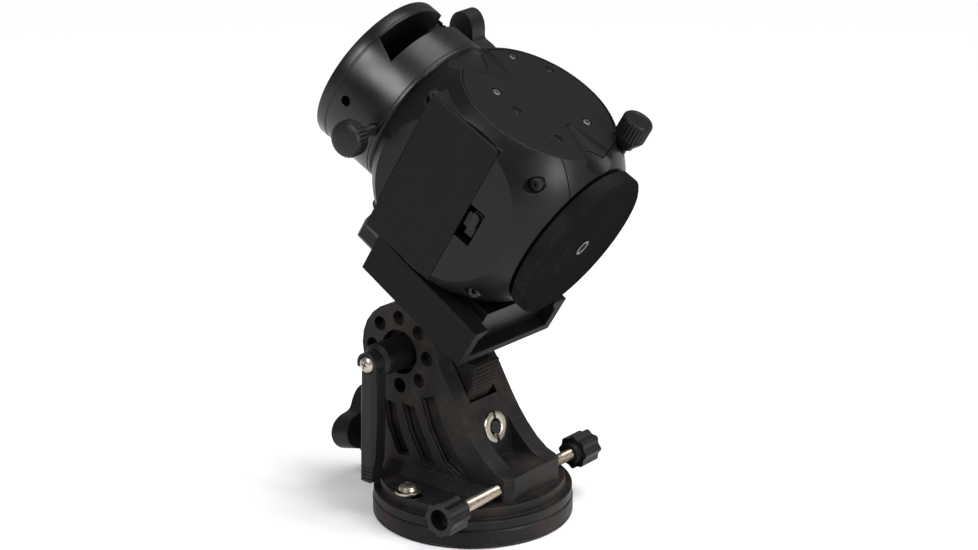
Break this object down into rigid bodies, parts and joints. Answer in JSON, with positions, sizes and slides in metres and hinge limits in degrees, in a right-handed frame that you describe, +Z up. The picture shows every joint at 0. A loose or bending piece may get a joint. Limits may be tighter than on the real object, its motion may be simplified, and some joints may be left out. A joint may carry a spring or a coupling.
{
  "type": "equatorial mount",
  "caption": "Two-axis equatorial telescope head on a tilting wedge with azimuth foot, latitude worm, locking knobs, battery side and dovetail saddle.",
  "frame": {"origin": "under the middle of the object's bounding box, on the plane the foot stands on", "axes": "+Z up; -Y towards the azimuth screws; -X towards the battery door and the lock lever; latitude pivot along +X"},
  "size_m": [0.1215, 0.1622, 0.2506],
  "materials": {
    "paint": "painted, slightly worn",
    "satin": "satin black coat",
    "plastic": "fine matte",
    "cover": "matte",
    "steel": "turned",
    "dark_steel": "black oxide",
    "brass": "machined",
    "board": "board"
  },
  "bodies": {
    "foot": {"foot_disc": "paint", "tripod_thread_insert": "steel", "azimuth_peg": "steel", "azimuth_lock_screw_near": "steel", "azimuth_lock_screw_far": "steel", "azimuth_lock_washer_near": "steel", "azimuth_lock_washer_far": "steel"},
    "bracket": {"bracket_casting": "paint", "worm_front_nut": "steel", "worm_rear_bush": "brass", "pivot_bolt": "dark_steel"},
    "azimuth_screw_near_slider": {"azimuth_screw_near": "steel"},
    "azimuth_screw_far_slider": {"azimuth_screw_far": "steel"},
    "azimuth_knob_near_turner": {"azimuth_knob_near": "plastic"},
    "azimuth_knob_far_turner": {"azimuth_knob_far": "plastic"},
    "latitude_worm": {"worm_shaft": "dark_steel", "latitude_knob": "plastic"},
    "lever": {"lock_lever": "plastic", "lever_screw": "steel"},
    "wedge": {"latitude_gear": "paint", "clamp_channel": "satin", "channel_bolt_1": "dark_steel", "channel_bolt_2": "dark_steel", "adapter_plate": "satin", "polar_axle": "steel", "polar_worm_wheel": "brass", "polar_axle_nut": "steel"},
    "channel_knob": {"channel_clamp_knob": "plastic"},
    "head": {"head_casting": "satin", "side_casting": "satin", "side_casting_screw_1": "dark_steel", "side_casting_screw_2": "dark_steel", "side_casting_screw_3": "dark_steel", "side_casting_screw_4": "dark_steel", "top_cover": "cover", "top_cover_screw_1": "steel", "top_cover_screw_2": "steel", "top_cover_screw_3": "steel", "battery_holder": "plastic", "polar_bearing": "steel", "polar_motor": "dark_steel", "declination_motor": "dark_steel", "declination_bearing_front": "steel", "declination_bearing_rear": "steel", "control_board": "board", "port_panel": "plastic"},
    "polar_worm_body": {"polar_worm": "dark_steel"},
    "declination_worm_body": {"declination_worm": "dark_steel"},
    "battery_lid": {"battery_door": "cover"},
    "latch": {"door_latch": "plastic"},
    "switch": {"power_switch": "plastic"},
    "locking_thumb_screw": {"thumb_screw": "satin"},
    "declination": {"declination_shaft": "steel", "declination_worm_wheel": "brass", "saddle_ring": "satin"},
    "jaw": {"saddle_jaw": "satin"},
    "star_knob": {"saddle_knob": "plastic"},
    "ring_pin": {"ring_lock_knob": "plastic"},
    "clutch": {"clutch_disc": "satin", "clutch_thread_insert": "steel"}
  },
  "joints": [
    {"name": "azimuth", "type": "hinge", "parent": "foot", "child": "bracket", "pos_m": [0.00686, 0.00127, 0.02], "axis": [0, 0, 1], "range_deg": [-8, 8]},
    {"name": "azimuth_screw_near_travel", "type": "slide", "parent": "bracket", "child": "azimuth_screw_near_slider", "axis": [1, 0, 0], "range_m": [-0.0045, 0.0045]},
    {"name": "azimuth_screw_far_travel", "type": "slide", "parent": "bracket", "child": "azimuth_screw_far_slider", "axis": [1, 0, 0], "range_m": [-0.0045, 0.0045]},
    {"name": "azimuth_knob_near_turn", "type": "hinge", "parent": "azimuth_screw_near_slider", "child": "azimuth_knob_near_turner", "pos_m": [-0.04314, -0.03013, 0.0238], "axis": [1, 0, 0], "range_deg": [-1600, 1600]},
    {"name": "azimuth_knob_far_turn", "type": "hinge", "parent": "azimuth_screw_far_slider", "child": "azimuth_knob_far_turner", "pos_m": [0.05186, -0.03013, 0.0238], "axis": [1, 0, 0], "range_deg": [-1600, 1600]},
    {"name": "latitude", "type": "hinge", "parent": "bracket", "child": "wedge", "pos_m": [0.00686, 0.03057, 0.0814], "axis": [1, 0, 0], "range_deg": [-30, 38]},
    {"name": "latitude_worm_turn", "type": "hinge", "parent": "bracket", "child": "latitude_worm", "pos_m": [0.00686, -0.01283, 0.0462], "axis": [0, 0.9741, -0.2261], "range_deg": [-4000, 3200]},
    {"name": "lock_lever_turn", "type": "hinge", "parent": "bracket", "child": "lever", "pos_m": [-0.02914, 0.03057, 0.0814], "axis": [1, 0, 0], "range_deg": [0, 60]},
    {"name": "channel_clamp_turn", "type": "hinge", "parent": "wedge", "child": "channel_knob", "pos_m": [0.05086, 0.00522, 0.11626], "axis": [1, 0, 0], "range_deg": [0, 720]},
    {"name": "polar", "type": "hinge", "parent": "wedge", "child": "head", "pos_m": [0.00686, -0.01499, 0.1738], "axis": [0, -0.5305, 0.8477], "continuous": true},
    {"name": "polar_worm_turn", "type": "hinge", "parent": "head", "child": "polar_worm_body", "pos_m": [0.00466, 0.02491, 0.15548], "axis": [0.9958, 0.0773, 0.0484], "continuous": true},
    {"name": "declination", "type": "hinge", "parent": "head", "child": "declination", "pos_m": [0.00686, -0.01499, 0.1738], "axis": [-0.0912, 0.8441, 0.5283], "continuous": true},
    {"name": "declination_worm_turn", "type": "hinge", "parent": "head", "child": "declination_worm_body", "pos_m": [0.01001, -0.05695, 0.17609], "axis": [0.9958, 0.0773, 0.0484], "continuous": true},
    {"name": "battery_door_swing", "type": "hinge", "parent": "head", "child": "battery_lid", "pos_m": [-0.04124, 0.00545, 0.1866], "axis": [0, 0.5305, -0.8477], "range_deg": [0, 100]},
    {"name": "door_latch_travel", "type": "slide", "parent": "head", "child": "latch", "axis": [0.0912, -0.8441, -0.5283], "range_m": [0, 0.0011], "stiffness_N_per_m": 300, "springref_m": -0.001},
    {"name": "power_switch_rock", "type": "hinge", "parent": "head", "child": "switch", "pos_m": [0.05128, -0.01897, 0.18783], "axis": [-0.0912, 0.8441, 0.5283], "range_deg": [-5, 5]},
    {"name": "thumb_screw_turn", "type": "hinge", "parent": "head", "child": "locking_thumb_screw", "pos_m": [0.03513, -0.07082, 0.19785], "axis": [0, -0.5305, 0.8477], "range_deg": [0, 720]},
    {"name": "saddle_jaw_travel", "type": "slide", "parent": "declination", "child": "jaw", "axis": [0.9958, 0.0773, 0.0484], "range_m": [-0.006, 0.0005]},
    {"name": "saddle_knob_turn", "type": "hinge", "parent": "declination", "child": "star_knob", "pos_m": [0.05046, 0.03991, 0.22232], "axis": [0.9958, 0.0773, 0.0484], "range_deg": [-2200, 200]},
    {"name": "ring_lock_turn", "type": "hinge", "parent": "declination", "child": "ring_pin", "pos_m": [-0.05543, 0.02248, 0.19726], "axis": [-0.9958, -0.0773, -0.0484], "range_deg": [0, 720]},
    {"name": "clutch_turn", "type": "hinge", "parent": "declination", "child": "clutch", "pos_m": [0.01142, -0.0572, 0.14739], "axis": [-0.0912, 0.8441, 0.5283], "range_deg": [-45, 90]}
  ],
  "couplings": [
    {"joint": "azimuth_screw_near_travel", "follows": "azimuth", "m_per_rad": -0.0314},
    {"joint": "azimuth_screw_far_travel", "follows": "azimuth", "m_per_rad": -0.0314},
    {"joint": "azimuth_knob_near_turn", "follows": "azimuth", "ratio": -197.29},
    {"joint": "azimuth_knob_far_turn", "follows": "azimuth", "ratio": -197.29},
    {"joint": "latitude_worm_turn", "follows": "latitude", "ratio": -105},
    {"joint": "polar_worm_turn", "follows": "polar", "ratio": 36},
    {"joint": "declination_worm_turn", "follows": "declination", "ratio": 36},
    {"joint": "saddle_knob_turn", "follows": "saddle_jaw_travel", "rad_per_m": 6283.2}
  ]
}
